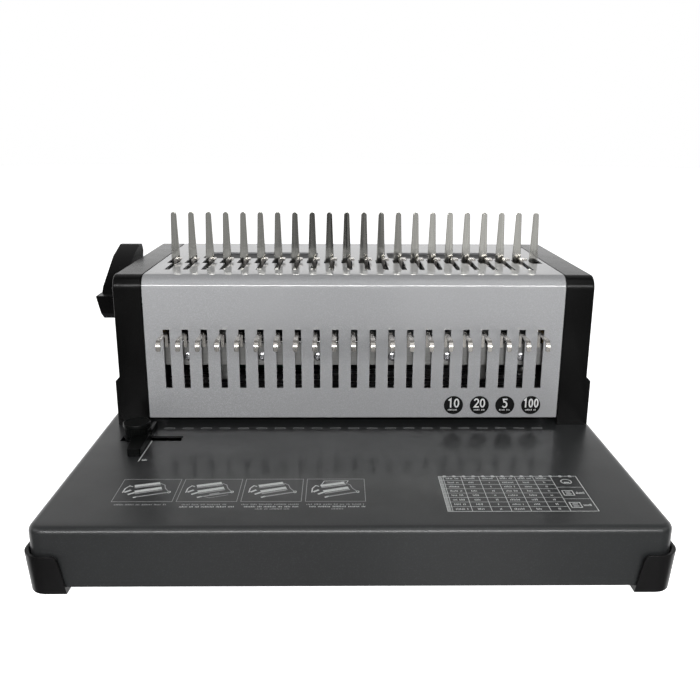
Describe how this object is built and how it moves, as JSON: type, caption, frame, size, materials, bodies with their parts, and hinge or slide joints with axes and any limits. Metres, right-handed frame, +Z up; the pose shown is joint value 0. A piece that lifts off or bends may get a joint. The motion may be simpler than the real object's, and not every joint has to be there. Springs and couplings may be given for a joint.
{
  "type": "comb binding machine",
  "caption": "Desktop comb binding machine: dark paper tray on corner feet, silver housing with slots, pull-down hooks and upright tines, a side lever and a hidden motor punch.",
  "frame": {"origin": "middle of the bounding box on the surface the machine stands on", "axes": "+X to the right as seen from the front, +Y to the back, +Z up; the tray faces -Y and the lever is on the -X side"},
  "size_m": [0.3948, 0.3532, 0.2],
  "materials": {
    "charcoal_paint": "satin charcoal powder coat",
    "base_paint": "matte black paint",
    "silver_paint": "satin silver metallic paint",
    "black_plastic": "fine textured black plastic",
    "foot_plastic": "soft black plastic",
    "rear_paint": "matte black paint",
    "inlay_plastic": "dark grey, fine grain",
    "frame_steel": "zinc plated",
    "tool_steel": "ground",
    "hook_steel": "polished",
    "tine_steel": "brushed",
    "screw_steel": "bright zinc",
    "bush_brass": "sintered bronze",
    "motor_steel": "grey enamel",
    "gearbox_alloy": "die cast",
    "board_green": "circuit board",
    "lever_plastic": "semi gloss black",
    "knob_plastic": "black",
    "drawer_plastic": "black",
    "switch_plastic": "black",
    "button_plastic": "green",
    "strip_plastic": "black"
  },
  "bodies": {
    "chassis": {"tray": "charcoal_paint", "base_plate": "base_paint", "foot_screws": "screw_steel", "main_cover": "silver_paint", "side_cover_left": "black_plastic", "side_cover_right": "black_plastic", "rear_cover": "rear_paint", "rear_cover_screws": "screw_steel", "top_inlay_left": "inlay_plastic", "top_inlay_right": "inlay_plastic", "side_frame_left": "frame_steel", "side_frame_right": "frame_steel", "frame_screws": "screw_steel", "shaft_bushes": "bush_brass", "lower_die": "tool_steel", "punch_guide_bar": "tool_steel", "paper_back_stop": "strip_plastic", "paper_lip": "strip_plastic", "tine_bar": "frame_steel", "opening_tines": "tine_steel", "motor_mount": "frame_steel", "motor_gearbox": "gearbox_alloy", "motor": "motor_steel", "control_board": "board_green", "rack_guide_studs": "screw_steel", "drawer_rails": "frame_steel", "power_inlet": "switch_plastic", "power_switch": "switch_plastic", "button_bezel": "switch_plastic", "corner_foot_front_left": "foot_plastic", "corner_foot_front_right": "foot_plastic", "corner_foot_rear_left": "foot_plastic", "corner_foot_rear_right": "foot_plastic"},
    "lever": {"lever_shaft": "tool_steel", "lever_pinions": "frame_steel", "lever_handle": "lever_plastic", "lever_screw": "screw_steel", "lever_cap": "lever_plastic"},
    "front_hook_carriage": {"front_hook_plate": "frame_steel", "front_hooks": "hook_steel", "front_hook_screws": "screw_steel", "front_racks": "frame_steel"},
    "top_hook_carriage": {"top_hook_bar": "frame_steel", "top_hooks": "hook_steel", "top_racks": "frame_steel"},
    "eccentric": {"eccentric_shaft": "tool_steel", "eccentric_discs": "tool_steel", "eccentric_gear": "frame_steel"},
    "punch_carriage": {"punch_bar": "tool_steel", "punch_yokes": "frame_steel", "punch_pins": "tool_steel"},
    "gearmotor_output": {"output_shaft": "tool_steel", "drive_pinion": "tool_steel"},
    "edge_stop": {"edge_guide": "knob_plastic", "edge_guide_slider": "knob_plastic"},
    "edge_stop_knob": {"edge_knob": "knob_plastic"},
    "drawer": {"waste_drawer": "drawer_plastic"},
    "rocker": {"power_rocker": "switch_plastic"},
    "button": {"punch_button": "button_plastic"}
  },
  "joints": [
    {"name": "lever_turn", "type": "hinge", "parent": "chassis", "child": "lever", "pos_m": [0, 0.052, 0.128], "axis": [1, 0, 0], "range_deg": [0, 120]},
    {"name": "front_hook_slide", "type": "slide", "parent": "chassis", "child": "front_hook_carriage", "axis": [0, 0, -1], "range_m": [0, 0.0262]},
    {"name": "top_hook_slide", "type": "slide", "parent": "chassis", "child": "top_hook_carriage", "axis": [0, -1, 0], "range_m": [0, 0.0262]},
    {"name": "eccentric_turn", "type": "hinge", "parent": "chassis", "child": "eccentric", "pos_m": [0, 0.028, 0.1], "axis": [1, 0, 0], "range_deg": [0, 180]},
    {"name": "punch_slide", "type": "slide", "parent": "chassis", "child": "punch_carriage", "axis": [0, 0, -1], "range_m": [0, 0.00801]},
    {"name": "drive_turn", "type": "hinge", "parent": "chassis", "child": "gearmotor_output", "pos_m": [0, 0.05971, 0.08846], "axis": [1, 0, 0], "range_deg": [-360.5, 0]},
    {"name": "edge_guide_slide", "type": "slide", "parent": "chassis", "child": "edge_stop", "axis": [1, 0, 0], "range_m": [-0.006, 0.0275]},
    {"name": "edge_knob_turn", "type": "hinge", "parent": "edge_stop", "child": "edge_stop_knob", "pos_m": [-0.1556, -0.03435, 0.048], "axis": [0, 0, 1], "range_deg": [0, 180]},
    {"name": "drawer_slide", "type": "slide", "parent": "chassis", "child": "drawer", "axis": [1, 0, 0], "range_m": [0, 0.25]},
    {"name": "power_rocker_turn", "type": "hinge", "parent": "chassis", "child": "rocker", "pos_m": [-0.0714, 0.1685, 0.074], "axis": [-1, 0, 0], "range_deg": [0, 14]},
    {"name": "punch_button_press", "type": "slide", "parent": "chassis", "child": "button", "axis": [-1, 0, 0], "range_m": [0, 0.0025], "stiffness_N_per_m": 300}
  ],
  "couplings": [
    {"joint": "front_hook_slide", "follows": "lever_turn", "m_per_rad": 0.0125},
    {"joint": "top_hook_slide", "follows": "lever_turn", "m_per_rad": 0.0125},
    {"joint": "punch_slide", "follows": "eccentric_turn", "m_per_rad": 0.0025465},
    {"joint": "drive_turn", "follows": "eccentric_turn", "ratio": -2}
  ]
}
